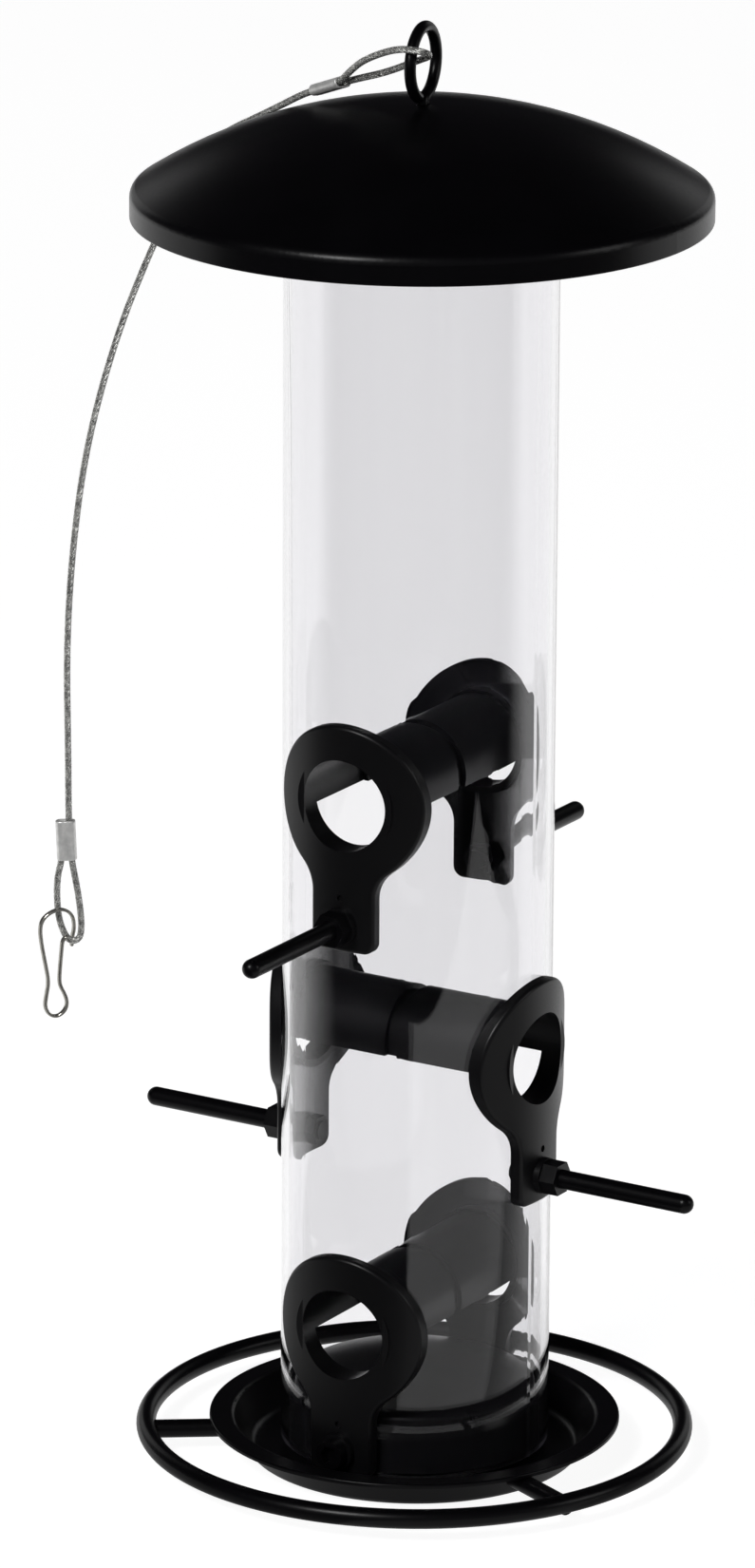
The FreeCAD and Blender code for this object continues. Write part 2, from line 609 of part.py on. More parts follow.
def make_lid():
    body = new_body("lid")
    profile = new_sketch(body, "lid_profile", "XZ_Plane")
    inner_r = "(dims.lid_r-dims.lid_sheet)"
    outer_sphere = "dims.dome_sphere_r"
    inner_sphere = "(dims.dome_sphere_r-dims.lid_sheet)"
    add_outline(profile, [
        ("dims.lid_r", "dims.skirt_bottom_z"),
        ("dims.lid_r", dome_z(outer_sphere, "dims.lid_r")),
        ("dims.lid_hole_r", dome_z(outer_sphere, "dims.lid_hole_r")),
        ("dims.lid_hole_r", dome_z(inner_sphere, "dims.lid_hole_r")),
        (inner_r, dome_z(inner_sphere, inner_r)),
        (inner_r, "dims.skirt_bottom_z"),
    ], {1: (outer_sphere, False), 3: (inner_sphere, True)})
    revolve(body, profile, "lid_shell")
    outer_z = value(dome_z(outer_sphere, "dims.lid_r"))
    inner_z = value(dome_z(inner_sphere, inner_r))
    fillet(body, "outer_shoulder", "dims.shoulder_fillet",
           lambda edge: is_circle(edge, cell("lid_r"), outer_z))
    fillet(body, "inner_shoulder", "dims.shoulder_fillet-dims.lid_sheet",
           lambda edge: is_circle(edge, value(inner_r), inner_z))
    for hem_r in (cell("lid_r"), value(inner_r)):
        fillet(body, f"hem_{hem_r:.0f}", "dims.hem_fillet",
               lambda edge, r=hem_r: is_circle(edge, r, cell("skirt_bottom_z")))
    keep(body, "lid")


def make_collar():
    body = new_body("lid_collar")
    profile = new_sketch(body, "collar_profile", "XZ_Plane")
    bore_r = "(dims.collar_outer_r-dims.collar_wall)"
    flange_top = "(dims.collar_stop_z+dims.collar_flange_thick)"
    add_outline(profile, [
        (bore_r, "dims.collar_bottom_z"),
        ("dims.collar_outer_r", "dims.collar_bottom_z"),
        ("dims.collar_outer_r", "dims.collar_stop_z"),
        ("dims.collar_flange_r", "dims.collar_stop_z"),
        ("dims.collar_flange_r", flange_top),
        ("dims.collar_outer_r", flange_top),
        ("dims.collar_outer_r", "dims.collar_outer_top_z"),
        (bore_r, "dims.collar_inner_top_z"),
    ])
    revolve(body, profile, "collar_sleeve")
    hole = new_sketch(body, "pin_hole_outline", "XZ_Plane")
    add_circle(hole, "dims.pin_r", "0", "dims.pin_z")
    pocket(body, hole, "pin_holes", both_ways=True)
    keep(body, "lid_collar", FreeCAD.Placement(V(0, 0, 0), around(pin_turn())))


def pin_turn():
    """Azimuth of the pins at rest: the low end of each slot."""
    return -cell("slot_middle")


def make_bayonet_pin(name, azimuth):
    root_y = cell("pin_root_y")
    head = cylinder(f"{name}_head", "dims.pin_head_r", "dims.pin_head_thick", V(0, -root_y, 0), OUTWARD)
    shank = cylinder(f"{name}_shank", "dims.pin_r", "dims.pin_tip_y-dims.pin_root_y", V(0, -root_y, 0),
                     OUTWARD)
    place = FreeCAD.Placement(V(0, 0, cell("pin_z")), around(azimuth))
    keep(fused(name, [head, shank]), name, place)


def make_hanger_eye():
    """The eye's wire, swept in its own upright plane."""
    ring_r, neck_r, ring_z = cell("eye_ring_r"), cell("eye_neck_r"), cell("eye_centre_z")
    centre = V(0, 0, ring_z)
    neck_rise = math.sqrt((ring_r + neck_r) ** 2 - neck_r ** 2)
    neck_centre = V(0, neck_r, ring_z - neck_rise)
    shank_bottom = V(0, 0, cell("eye_bottom_z"))
    shank_top = V(0, 0, neck_centre.z)
    join = centre + (neck_centre - centre) * (ring_r / (ring_r + neck_r))
    half_way = (shank_top + join) * 0.5
    neck_middle = neck_centre + (half_way - neck_centre).normalize() * neck_r
    end_angle = math.radians(cell("eye_end_angle"))
    end = centre + V(0, -math.cos(end_angle), math.sin(end_angle)) * ring_r
    top = centre + V(0, 0, ring_r)
    path = Part.Wire([
        Part.LineSegment(shank_bottom, shank_top).toShape(),
        Part.Arc(shank_top, neck_middle, join).toShape(),
        Part.Arc(join, top, end).toShape(),
    ])
    circle = Part.Circle(shank_bottom, V(0, 0, 1), cell("hanger_wire_r"))
    eye = doc.addObject("Part::Feature", "hanger_eye")
    eye.Shape = path.makePipeShell([Part.Wire(circle.toShape())], True, True)
    keep(eye, "hanger_eye", FreeCAD.Placement(V(0, 0, 0), around(cell("eye_azimuth"))))


def make_hanger_fixings():
    washer_z = cell("washer_top_z") - cell("washer_thick")
    disc = cylinder("washer_disc", "dims.washer_r", "dims.washer_thick", V(0, 0, washer_z))
    eye_hole = cylinder("washer_hole", "dims.hanger_wire_r+0.1", "dims.washer_thick", V(0, 0, washer_z))
    keep(cut_away("hanger_washer", disc, eye_hole), "hanger_washer")
    nut_z = cell("hanger_nut_top_z") - cell("hanger_nut_thick")
    block = hexagon("hanger_nut_block", "dims.hanger_nut_flats", "dims.hanger_nut_thick", V(0, 0, nut_z))
    bore = cylinder("hanger_nut_bore", "dims.hanger_wire_r", "dims.hanger_nut_thick", V(0, 0, nut_z))
    keep(cut_away("hanger_nut", block, bore), "hanger_nut")


# ---------------------------------------------------------------- cable, ferrules and hook

# Cut end in the top ferrule, round the eye's wire, back through the ferrule, over the lid, down, through
# the bottom ferrule, round its eye and back up to the other cut end.
CABLE_ROUTE = [
    (-34.72, 3.27, 358.91), (-19.7, -1.95, 364.64), (-11.6, -6.2, 371.2), (-0.7, -10.4, 375.0),
    (6.8, -12.5, 375.2), (8.4, -8.0, 373.3), (1.1, -5.0, 371.4), (-10.1, -1.7, 367.6),
    (-19.01, 0.04, 364.64), (-39.79, 7.25, 356.72), (-49.2, 10.6, 353.4), (-60.3, 14.6, 348.8),
    (-70.8, 18.8, 342.8), (-80.3, 22.2, 333.8), (-88.0, 22.6, 321.0), (-94.8, 20.5, 305.0),
    (-102.9, 16.4, 281.0), (-108.8, 12.2, 253.5), (-111.9, 8.6, 225.5), (-112.2, 5.6, 197.0),
    (-110.8, 3.83, 165.5), (-109.46, 4.65, 137.0), (-107.06, 6.11, 127.8), (-106.98, 6.17, 122.4),
    (-108.35, 5.33, 118.8), (-111.33, 3.51, 118.8), (-112.78, 2.62, 122.4), (-113.21, 2.36, 129.5),
    (-111.25, 3.56, 137.0), (-111.99, 3.11, 152.6),
]
# Each ferrule's middle line and the way across its two bores.
FERRULES = {
    "top_ferrule": (V(-24.17, 0.72, 362.8), V(-33.95, 4.11, 359.07), V(-0.3279, -0.9447, 0)),
    "bottom_ferrule": (V(-111.08, 3.66, 152.3), V(-110.56, 3.98, 141.32), V(0.8536, 0.521, 0)),
}
TURN_SHARE = 0.45


def rounded_path(points):
    """Straight runs joined by tangent arcs, with the radius of each arc."""
    edges = []
    radii = []
    start = points[0]
    for before, corner, after in zip(points, points[1:], points[2:]):
        run_in = (corner - before).Length
        run_out = (after - corner).Length
        back = (before - corner).normalize()
        on = (after - corner).normalize()
        half_turn = (math.pi - back.getAngle(on)) / 2
        setback = TURN_SHARE * min(run_in, run_out)
        radius = setback / math.tan(half_turn)
        arc_start = corner + back * setback
        arc_end = corner + on * setback
        inward = (back + on).normalize()
        depth = radius / math.cos(half_turn) - radius
        edges.append(Part.LineSegment(start, arc_start).toShape())
        edges.append(Part.Arc(arc_start, corner + inward * depth, arc_end).toShape())
        radii.append(radius)
        start = arc_end
    edges.append(Part.LineSegment(start, points[-1]).toShape())
    return Part.Wire(edges), radii


def swept_wire(name, route, radius):
    """A round wire along a rounded path, checked against its section times its length."""
    points = [V(*point) for point in route]
    path, radii = rounded_path(points)
    circle = Part.Circle(points[0], points[1] - points[0], radius)
    solid = path.makePipeShell([Part.Wire(circle.toShape())], True, True)
    expected = math.pi * radius ** 2 * path.Length
    if abs(solid.Volume / expected - 1) > 0.02:
        raise RuntimeError(f"{name} has volume {solid.Volume:.1f}, not {expected:.1f}")
    print(f"{name}: length {path.Length:.1f}, radii", " ".join(f"{r:.1f}" for r in radii))
    item = doc.addObject("Part::Feature", name)
    item.Shape = solid
    return keep(item, name)


def make_ferrule(name, first, last, across):
    """An oval sleeve with two bores, from first towards last, its long way along across."""
    rotation = FreeCAD.Rotation(across, V(), last - first, "ZXY")
    pieces = []
    holes = []
    for side in (-1, 1):
        place = V(side * cell("ferrule_half_gap"), 0, 0)
        pieces.append(cylinder(f"{name}_side_{side + 1}", "dims.ferrule_side_r", "dims.ferrule_long", place))
        holes.append(cylinder(f"{name}_bore_{side + 1}", "dims.cable_r", "dims.ferrule_long", place))
    middle = doc.addObject("Part::Box", f"{name}_middle")
    middle.setExpression("Length", "dims.ferrule_half_gap*2")
    middle.setExpression("Width", "dims.ferrule_side_r*2")
    middle.setExpression("Height", "dims.ferrule_long")
    middle.Placement.Base = V(-cell("ferrule_half_gap"), -cell("ferrule_side_r"), 0)
    sleeve = cut_away(name, fused(f"{name}_outer", pieces + [middle]), fused(f"{name}_bores", holes))
    keep(sleeve, name, FreeCAD.Placement(first, rotation))


# The hook's wire, from the end of its nose over the top, down its back, round its foot and up the gate.
HOOK_ROUTE = [
    (-110.85, 6.38, 116.38), (-110.77, 6.43, 119.02), (-110.08, 6.49, 121.52), (-109.71, 5.67, 124.18),
    (-109.66, 4.29, 126.33), (-110.26, 2.52, 127.75), (-111.37, 0.79, 128.16), (-112.84, -1.05, 127.43),
    (-114.2, -2.46, 125.74), (-114.67, -2.99, 123.3), (-114.41, -2.83, 119.37), (-113.61, -2.22, 113.76),
    (-112.86, -1.64, 108.45), (-113.37, -2.07, 104.78), (-113.75, -2.31, 101.6), (-112.85, -1.64, 99.25),
    (-111.2, -0.4, 98.67), (-109.55, 0.85, 100.15), (-108.91, 1.35, 102.5), (-109.58, 0.94, 105.01),
    (-110.8, 0.2, 107.62), (-110.72, 0.48, 111.94), (-110.49, 0.86, 116.31), (-110.29, 1.22, 120.44),
    (-109.01, 2.11, 120.81),
]


def build_all():
    make_tube()
    ports = [
        ("port_bottom_front", 0, 0, False), ("port_bottom_back", 0, 180, True),
        ("port_middle_right", 1, 90, False), ("port_middle_left", 1, -90, True),
        ("port_top_front", 2, 0, False), ("port_top_back", 2, 180, True),
    ]
    for name, level, azimuth, has_spigot in ports:
        make_port(name, level, azimuth, has_spigot)
        height = value(f"{port_z(level)}-dims.fastener_drop")
        turn = around(azimuth)
        side = name[len("port_"):]
        if level == 0:
            make_base_screw(f"screw_{side}", height, turn)
            continue
        make_perch(f"perch_{side}", height, turn)
        make_nut(f"outer_nut_{side}", "dims.nut_across_flats", "dims.outer_nut_thick", "dims.boss_face_y",
                 height, turn)
        make_nut(f"inner_nut_{side}", "dims.inner_nut_flats", "dims.inner_nut_thick",
                 "dims.inner_nut_face_y-dims.inner_nut_thick", height, turn)
    make_insert()
    make_tray()
    for number in range(3):
        make_tray_screw(f"tray_screw_{number + 1}", 120 * number)
    make_perch_ring()
    for number in range(3):
        make_spoke(f"spoke_{number + 1}", 65 + 120 * number)
    make_lid()
    make_collar()
    for number in range(2):
        make_bayonet_pin(f"bayonet_pin_{number + 1}", pin_turn() + 180 * number)
    make_hanger_eye()
    make_hanger_fixings()

    for name, (first, last, across) in FERRULES.items():
        make_ferrule(name, first, last, across)
    swept_wire("cable", CABLE_ROUTE, cell("cable_r"))
    swept_wire("snap_hook", HOOK_ROUTE, cell("hook_wire_r"))


build_all()
doc.recompute()

for item in doc.Objects:
    if {"Invalid", "Error"} & set(item.State):
        raise RuntimeError(f"{item.Name} is {item.State}")
for node in nodes:
    if node.Shape.isNull() or not node.Shape.isValid():
        raise RuntimeError(f"{node.Label} has a bad shape")

os.makedirs("parts", exist_ok=True)
for node in nodes:
    node.Shape.exportStep(f"parts/{node.Label}.step")
print(len(nodes), "nodes")
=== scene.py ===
import bpy
import json
import math
from mathutils import Matrix, Vector


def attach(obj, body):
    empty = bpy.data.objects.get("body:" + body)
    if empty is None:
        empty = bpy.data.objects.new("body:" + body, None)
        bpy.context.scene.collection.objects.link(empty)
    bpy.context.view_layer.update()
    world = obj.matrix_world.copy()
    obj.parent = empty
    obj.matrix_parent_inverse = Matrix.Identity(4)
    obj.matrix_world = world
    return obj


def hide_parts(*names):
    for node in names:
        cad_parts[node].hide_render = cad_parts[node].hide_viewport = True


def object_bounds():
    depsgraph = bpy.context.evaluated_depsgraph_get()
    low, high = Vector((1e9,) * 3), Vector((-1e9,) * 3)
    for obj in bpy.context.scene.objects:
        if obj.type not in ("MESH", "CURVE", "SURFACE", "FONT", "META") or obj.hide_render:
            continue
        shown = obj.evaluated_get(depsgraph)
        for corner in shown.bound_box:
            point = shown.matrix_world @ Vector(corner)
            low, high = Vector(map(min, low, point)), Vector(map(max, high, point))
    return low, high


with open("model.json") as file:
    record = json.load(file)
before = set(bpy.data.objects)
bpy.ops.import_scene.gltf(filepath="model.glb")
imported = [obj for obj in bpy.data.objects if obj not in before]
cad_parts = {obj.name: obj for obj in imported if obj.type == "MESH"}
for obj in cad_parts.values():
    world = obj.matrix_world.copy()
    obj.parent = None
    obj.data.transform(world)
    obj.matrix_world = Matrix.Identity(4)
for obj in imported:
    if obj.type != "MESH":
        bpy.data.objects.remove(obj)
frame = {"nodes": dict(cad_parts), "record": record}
CAD_BOX = [list(corner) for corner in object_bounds()]
NODES = frame["nodes"]
SCENE = bpy.context.scene

# Lengths are in metres and angles in degrees.

# ---------------------------------------------------------------- camera

CAMERA_AZIMUTH, CAMERA_PITCH, CAMERA_ROLL = 31.4, 16.87, 0.30
CAMERA_SIDEWAYS, CAMERA_DISTANCE, CAMERA_HEIGHT = -0.0105, 2.29, 0.8754
CAMERA_LENS_MM, CAMERA_SENSOR_MM = 214.47, 36
CAMERA_NEAR, CAMERA_FAR = 0.05, 50


def add_camera():
    """A long lens, looking at the feeder from its front right and slightly from above."""
    azimuth, pitch, roll = (math.radians(a) for a in (CAMERA_AZIMUTH, CAMERA_PITCH, CAMERA_ROLL))
    right = Vector((math.cos(azimuth), math.sin(azimuth), 0))
    away = Vector((-math.sin(azimuth), math.cos(azimuth), 0))
    forward = away * math.cos(pitch) - Vector((0, 0, math.sin(pitch)))
    level_up = right.cross(forward)
    across = right * math.cos(roll) + level_up * math.sin(roll)
    up = level_up * math.cos(roll) - right * math.sin(roll)
    place = right * CAMERA_SIDEWAYS - away * CAMERA_DISTANCE + Vector((0, 0, CAMERA_HEIGHT))
    data = bpy.data.cameras.new("camera")
    data.sensor_width = CAMERA_SENSOR_MM
    data.lens = CAMERA_LENS_MM
    data.clip_start = CAMERA_NEAR
    data.clip_end = CAMERA_FAR
    camera = bpy.data.objects.new("camera", data)
    SCENE.collection.objects.link(camera)
    axes = Matrix((across, up, -forward)).transposed()
    camera.matrix_world = Matrix.Translation(place) @ axes.to_4x4()
    SCENE.camera = camera
    return right, away


RIGHT, AWAY = add_camera()


# ---------------------------------------------------------------- mesh helpers

def new_mesh_object(name, verts, faces, smooth=True):
    mesh = bpy.data.meshes.new(name)
    mesh.from_pydata([tuple(v) for v in verts], [], faces)
    mesh.update()
    if smooth:
        mesh.polygons.foreach_set("use_smooth", [True] * len(mesh.polygons))
    piece = bpy.data.objects.new(name, mesh)
    SCENE.collection.objects.link(piece)
    return piece


def guide_curve(name, points, resolution):
    """The points along a smooth NURBS line through a route's control points."""
    data = bpy.data.curves.new(name, "CURVE")
    data.dimensions = "3D"
    data.resolution_u = resolution
    spline = data.splines.new("NURBS")
    spline.points.add(len(points) - 1)
    for control, point in zip(spline.points, points):
        control.co = (*point, 1)
    spline.order_u = 3
    spline.use_endpoint_u = True
    guide = bpy.data.objects.new(name, data)
    SCENE.collection.objects.link(guide)
    bpy.context.view_layer.update()
    mesh = bpy.data.meshes.new_from_object(guide.evaluated_get(bpy.context.evaluated_depsgraph_get()))
    line = [vertex.co.copy() for vertex in mesh.vertices]
    bpy.data.meshes.remove(mesh)
    bpy.data.objects.remove(guide)
    bpy.data.curves.remove(data)
    return line


def even_points(line, about):
    """Points evenly spaced along a line, about a given step apart, and their exact step."""
    lengths = [0]
    for a, b in zip(line, line[1:]):
        lengths.append(lengths[-1] + (b - a).length)
    count = max(2, round(lengths[-1] / about))
    points = []
    at = 0
    for i in range(count + 1):
        goal = lengths[-1] * i / count
        while at < len(line) - 2 and lengths[at + 1] < goal:
            at += 1
        span = lengths[at + 1] - lengths[at]
        share = (goal - lengths[at]) / span if span > 0 else 0
        points.append(line[at].lerp(line[at + 1], min(max(share, 0), 1)))
    return points, lengths[-1] / count


def direction_at(points, i):
    last = len(points) - 1
    return (points[min(i + 1, last)] - points[max(i - 1, 0)]).normalized()


def squared_to(along, direction):
    """The part of a direction that is square to a line."""
    return (direction - along * direction.dot(along)).normalized()


def cross_directions(points, start_side):
    """Two directions square to the line at each point, turned as little as possible on the way."""
    pairs = []
    side = start_side.copy()
    for i in range(len(points)):
        along = direction_at(points, i)
        side = squared_to(along, side)
        pairs.append((side, along.cross(side)))
    return pairs


def ring(centre, side, up, radius, sides, turn=0):
    angles = (2 * math.pi * k / sides + turn for k in range(sides))
    return [centre + (side * math.cos(a) + up * math.sin(a)) * radius for a in angles]


def tube_faces(rings, around, base=0, closed_ends=True):
    faces = []
    for i in range(rings - 1):
        for k in range(around):
            a = base + i * around + k
            b = base + i * around + (k + 1) % around
            faces.append((a, b, b + around, a + around))
    if closed_ends:
        faces.append(tuple(base + k for k in reversed(range(around))))
        faces.append(tuple(base + (rings - 1) * around + k for k in range(around)))
    return faces


# ---------------------------------------------------------------- cable

# The cable's line: cut end in the top sleeve, round the hanger eye, back through the sleeve,
# over the lid and down, through the bottom sleeve, round its eye and back up into the sleeve.
CABLE_POINTS = [
    (-0.0349, 0.0030, 0.3578), (-0.0243, -0.0004, 0.3617), (-0.0203, -0.0023, 0.3654),
    (-0.0127, -0.0071, 0.3705), (-0.0012, -0.0107, 0.3752), (0.0070, -0.0124, 0.3757),
    (0.0076, -0.0084, 0.3739), (0.0011, -0.0049, 0.3712), (-0.0099, -0.0016, 0.3663),
    (-0.0195, 0.0003, 0.3632), (-0.0295, 0.0034, 0.3596), (-0.0388, 0.0062, 0.3560),
    (-0.0474, 0.0101, 0.3515), (-0.0568, 0.0153, 0.3467), (-0.0697, 0.0187, 0.3402),
    (-0.0803, 0.0220, 0.3330), (-0.0874, 0.0228, 0.3208), (-0.0947, 0.0205, 0.3047),
    (-0.1029, 0.0166, 0.2815), (-0.1090, 0.0118, 0.2529), (-0.1116, 0.0088, 0.2254),
    (-0.1120, 0.0063, 0.1978), (-0.1103, 0.0044, 0.1701), (-0.1102, 0.0042, 0.1530),
    (-0.1096, 0.0045, 0.1415), (-0.1085, 0.0053, 0.1345), (-0.1075, 0.0058, 0.1269),
    (-0.1073, 0.0059, 0.1213), (-0.1081, 0.0054, 0.1188), (-0.1104, 0.0040, 0.1187),
    (-0.1125, 0.0031, 0.1237), (-0.1128, 0.0024, 0.1299), (-0.1128, 0.0026, 0.1366),
    (-0.1115, 0.0034, 0.1420), (-0.1119, 0.0031, 0.1512),
]
CABLE_RESOLUTION = 24
CABLE_D = 0.0018
COAT_STEP, COAT_SIDES = 0.0008, 14
STRANDS = 6
STRAND_STEP, STRAND_SIDES = 0.00042, 8
STRAND_LAY = 0.0105
STRAND_R = 0.00027
STRAND_CENTRE_R = 0.00049
CORE_R = STRAND_R * 0.95
UPWARD = Vector((0, 0, 1))


def make_cable():
    """Six strands laid round a core, in a clear coat, and the line that they follow."""
    line = guide_curve("cable_guide", CABLE_POINTS, CABLE_RESOLUTION)
    points, step = even_points(line, STRAND_STEP)
    pairs = cross_directions(points, UPWARD)
    verts = []
    faces = []
    for strand in range(STRANDS + 1):
        is_core = strand == STRANDS
        radius = CORE_R if is_core else STRAND_R
        offset = 0 if is_core else STRAND_CENTRE_R
        faces += tube_faces(len(points), STRAND_SIDES, base=len(verts))
        for i, (point, (side, up)) in enumerate(zip(points, pairs)):
            turn = 2 * math.pi * (strand / STRANDS + i * step / STRAND_LAY)
            centre = point + (side * math.cos(turn) + up * math.sin(turn)) * offset
            verts += ring(centre, side, up, radius, STRAND_SIDES, turn)
    cable = new_mesh_object("cable_strands", verts, faces)

    coat_points, _ = even_points(line, COAT_STEP)
    coat_verts = []
    for point, (side, up) in zip(coat_points, cross_directions(coat_points, UPWARD)):
        coat_verts += ring(point, side, up, CABLE_D / 2, COAT_SIDES)
    jacket = new_mesh_object("cable_coat", coat_verts, tube_faces(len(coat_points), COAT_SIDES))
    return cable, jacket, points


SLEEVE_AROUND = 72
SLEEVE_STEPS = 22
SLEEVE_OUTER_R, SLEEVE_WALL, SLEEVE_LIP = 0.0016, 0.00045, 0.0003
SLEEVE_HALF_GAP = 0.00105
SLEEVE_SQUARENESS = 1.9
SLEEVE_BORE_FLATNESS = 0.92
# Each pressed valley's place across the sleeve and its depth.
VALLEYS = ((-0.00035, 0.00022), (0.00085, 0.00012))
VALLEY_WIDTH = 0.0004
VALLEY_END_DEPTH, VALLEY_GROWTH = 0.35, 2.2
VALLEY_FACE = 0.0006


def sleeve_point(k, shrink):
    """A point of the sleeve's oval: how far across it and how far through it."""
    a = 2 * math.pi * k / SLEEVE_AROUND
    flat = math.cos(a)
    straight = math.copysign(min(abs(flat) * SLEEVE_SQUARENESS, 1), flat) * SLEEVE_HALF_GAP
    return straight + (SLEEVE_OUTER_R - shrink) * flat, (SLEEVE_OUTER_R - shrink) * math.sin(a)


def valley(x, share):
    """Depth of the pressed valleys at a place across and along the sleeve."""
    depth = 0
    for place, deep in VALLEYS:
        depth += deep * math.exp(-((x - place) / VALLEY_WIDTH) ** 2)
    return depth * min(1, math.sin(math.pi * min(max(share, 0), 1)) * VALLEY_GROWTH + VALLEY_END_DEPTH)


def make_sleeve(name, first, last, across):
    """A pressed oval sleeve round two cables: soft valleys between them, rounded lips, open ends."""
    along = (last - first).normalized()
    across = squared_to(along, across)
    thick = along.cross(across)
    length = (last - first).length
    lip = SLEEVE_LIP
    stations = [(0, lip), (lip * 0.3, lip * 0.3), (lip, 0)]
    stations += [(lip + (length - 2 * lip) * i / SLEEVE_STEPS, 0) for i in range(1, SLEEVE_STEPS)]
    stations += [(length - lip, 0), (length - lip * 0.3, lip * 0.3), (length, lip)]
    verts = []
    for place, shrink in stations:
        for k in range(SLEEVE_AROUND):
            x, y = sleeve_point(k, shrink)
            y -= math.copysign(valley(x, place / length), y) * (1 if abs(y) > VALLEY_FACE else 0)
            verts.append(first + along * place + across * x + thick * y)
    bore_places = (length, length * 0.5, 0)
    for place in bore_places:
        for k in range(SLEEVE_AROUND):
            x, y = sleeve_point(k, SLEEVE_WALL)
            verts.append(first + along * place + across * x + thick * y * SLEEVE_BORE_FLATNESS)
    rings = len(stations) + len(bore_places)
    faces = tube_faces(rings, SLEEVE_AROUND, closed_ends=False)
    last_ring = (rings - 1) * SLEEVE_AROUND
    for k in range(SLEEVE_AROUND):
        beside = (k + 1) % SLEEVE_AROUND
        faces.append((last_ring + k, last_ring + beside, beside, k))
    return new_mesh_object(name, verts, faces)


# The hook's wire: from its cut end round the top bend, down, round the lower bend and up to the gate's end.
HOOK_POINTS = [
    (-0.11085, 0.00638, 0.11638), (-0.11077, 0.00643, 0.11902), (-0.11008, 0.00649, 0.12152),
    (-0.10971, 0.00567, 0.12418), (-0.10966, 0.00429, 0.12633), (-0.11026, 0.00252, 0.12775),
    (-0.11137, 0.00079, 0.12816), (-0.11284, -0.00105, 0.12743), (-0.1142, -0.00246, 0.12574),
    (-0.11467, -0.00299, 0.1233), (-0.11441, -0.00283, 0.11937), (-0.11361, -0.00222, 0.11376),
    (-0.11286, -0.00164, 0.10845), (-0.11337, -0.00207, 0.10478), (-0.11375, -0.00231, 0.1016),
    (-0.11285, -0.00164, 0.09925), (-0.1112, -0.0004, 0.09867), (-0.10955, 0.00085, 0.10015),
    (-0.10891, 0.00135, 0.1025), (-0.10958, 0.00094, 0.10501), (-0.1108, 0.0002, 0.10762),
    (-0.11072, 0.00048, 0.11194), (-0.11049, 0.00086, 0.11631), (-0.11029, 0.00122, 0.12044),
    (-0.10901, 0.00211, 0.12081),
]


HOOK_RESOLUTION = 16
HOOK_STEP, HOOK_AROUND = 0.0003, 20
HOOK_FACE = Vector((0.91, -0.40, 0)).normalized()
HOOK_HALF_WIDE, HOOK_HALF_THIN = 0.00068, 0.00046
HOOK_SQUARENESS = 0.75
HOOK_END_ROUND, HOOK_END_LEAST = 0.0006, 0.05


def make_hook():
    """The snap hook's wire, a little flattened: wider across its plane than within it."""
    line = guide_curve("hook_guide", HOOK_POINTS, HOOK_RESOLUTION)
    points, _ = even_points(line, HOOK_STEP)
    verts = []
    last = len(points) - 1
    for i, point in enumerate(points):
        along = direction_at(points, i)
        wide = squared_to(along, HOOK_FACE)
        thin = along.cross(wide)
        from_end = min(i, last - i) * HOOK_STEP
        taper = math.sqrt(max(HOOK_END_LEAST, 1 - max(0, 1 - from_end / HOOK_END_ROUND) ** 2))
        for k in range(HOOK_AROUND):
            a = 2 * math.pi * k / HOOK_AROUND
            c, s = math.cos(a), math.sin(a)
            x = math.copysign(abs(c) ** HOOK_SQUARENESS, c) * HOOK_HALF_WIDE * taper
            y = math.copysign(abs(s) ** HOOK_SQUARENESS, s) * HOOK_HALF_THIN * taper
            verts.append(point + wide * x + thin * y)
    return new_mesh_object("snap_hook_wire", verts, tube_faces(len(points), HOOK_AROUND))


strands, coat, cable_path = make_cable()
top_sleeve = make_sleeve("top_sleeve", Vector((-0.02385, 0.00062, 0.36180)),
                         Vector((-0.03370, 0.00372, 0.35800)), Vector((-0.3279, -0.9447, 0)))
bottom_sleeve = make_sleeve("bottom_sleeve", Vector((-0.11090, 0.00375, 0.1521)),
                            Vector((-0.11052, 0.00400, 0.1412)), Vector((0.8536, 0.521, 0)))
hook = make_hook()


# ---------------------------------------------------------------- materials

